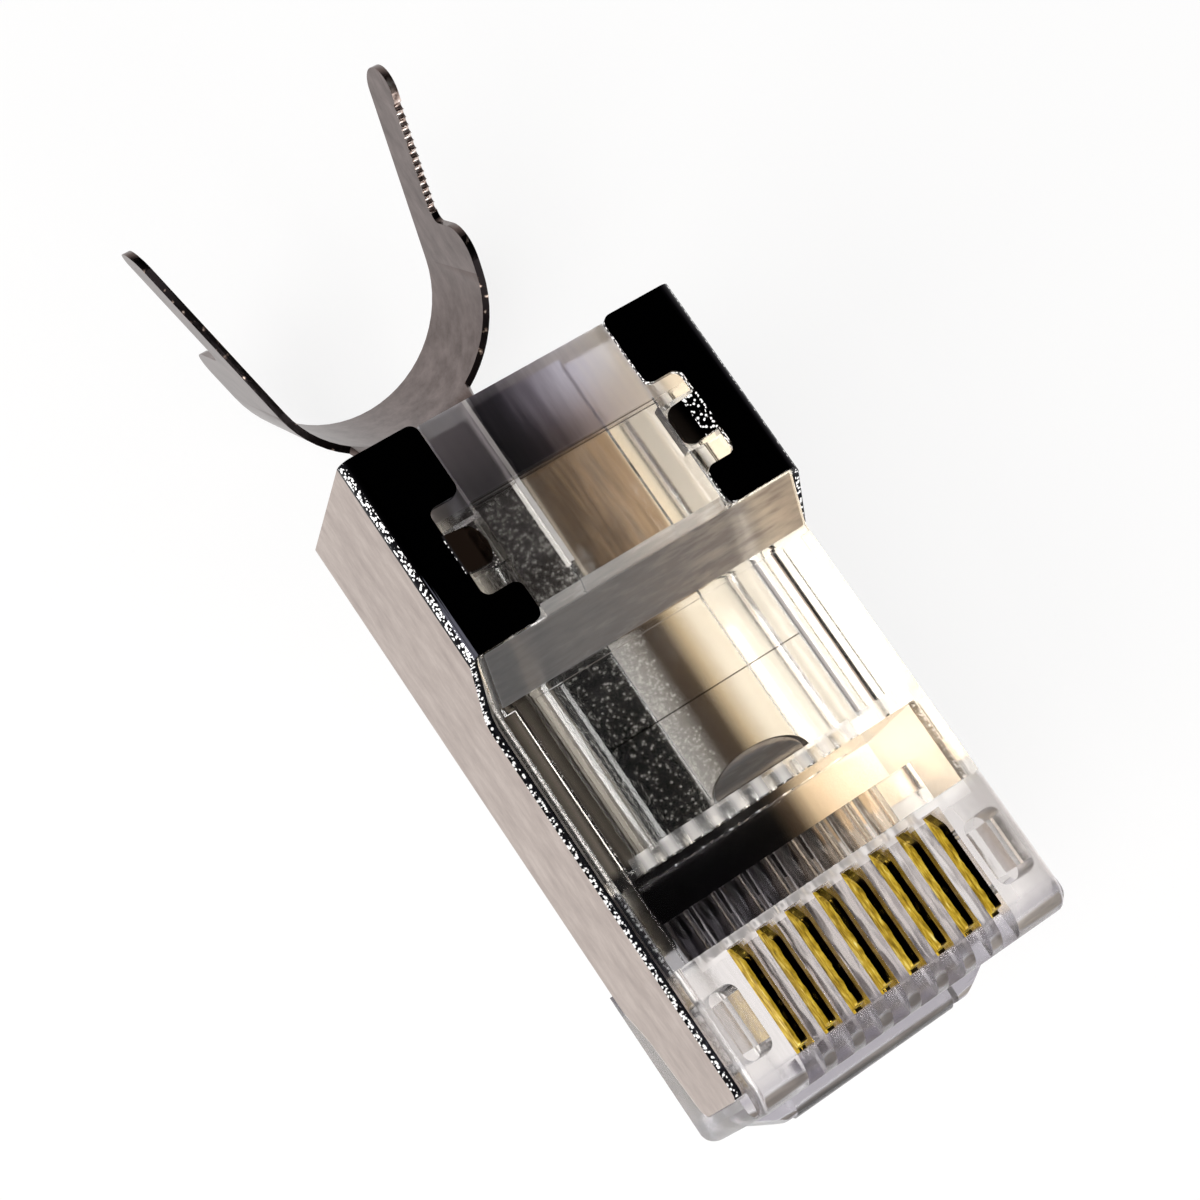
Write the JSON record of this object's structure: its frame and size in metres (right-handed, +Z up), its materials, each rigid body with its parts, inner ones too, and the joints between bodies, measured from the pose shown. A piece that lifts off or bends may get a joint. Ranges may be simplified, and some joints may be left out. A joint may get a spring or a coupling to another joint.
{
  "type": "modular plug",
  "caption": "Shielded modular plug for twisted-pair data cable: clear housing, gold contacts, folded metal shield with a tail clip, and a sprung latch lever.",
  "frame": {"origin": "on the nose's front face, in the middle of the contact row, at the level of the shield's latch-side face", "axes": "+X along the contact row, +Y from the nose back to the cable, +Z up to the contact side"},
  "size_m": [0.0121, 0.0353, 0.0133],
  "materials": {
    "polycarbonate": "clear moulded",
    "nickel_plate": "bright nickel-plated sheet",
    "gold_plate": "gold plate"
  },
  "bodies": {
    "plug": {"housing": "polycarbonate", "shield": "nickel_plate", "contact_1": "gold_plate", "contact_2": "gold_plate", "contact_3": "gold_plate", "contact_4": "gold_plate", "contact_5": "gold_plate", "contact_6": "gold_plate", "contact_7": "gold_plate", "contact_8": "gold_plate"},
    "latch": {"latch_lever": "polycarbonate"}
  },
  "joints": [
    {"name": "latch_hinge", "type": "hinge", "parent": "plug", "child": "latch", "pos_m": [0, -0.00015, -0.00025], "axis": [1, 0, 0], "range_deg": [0, 14], "stiffness_Nm_per_rad": 0.05}
  ]
}
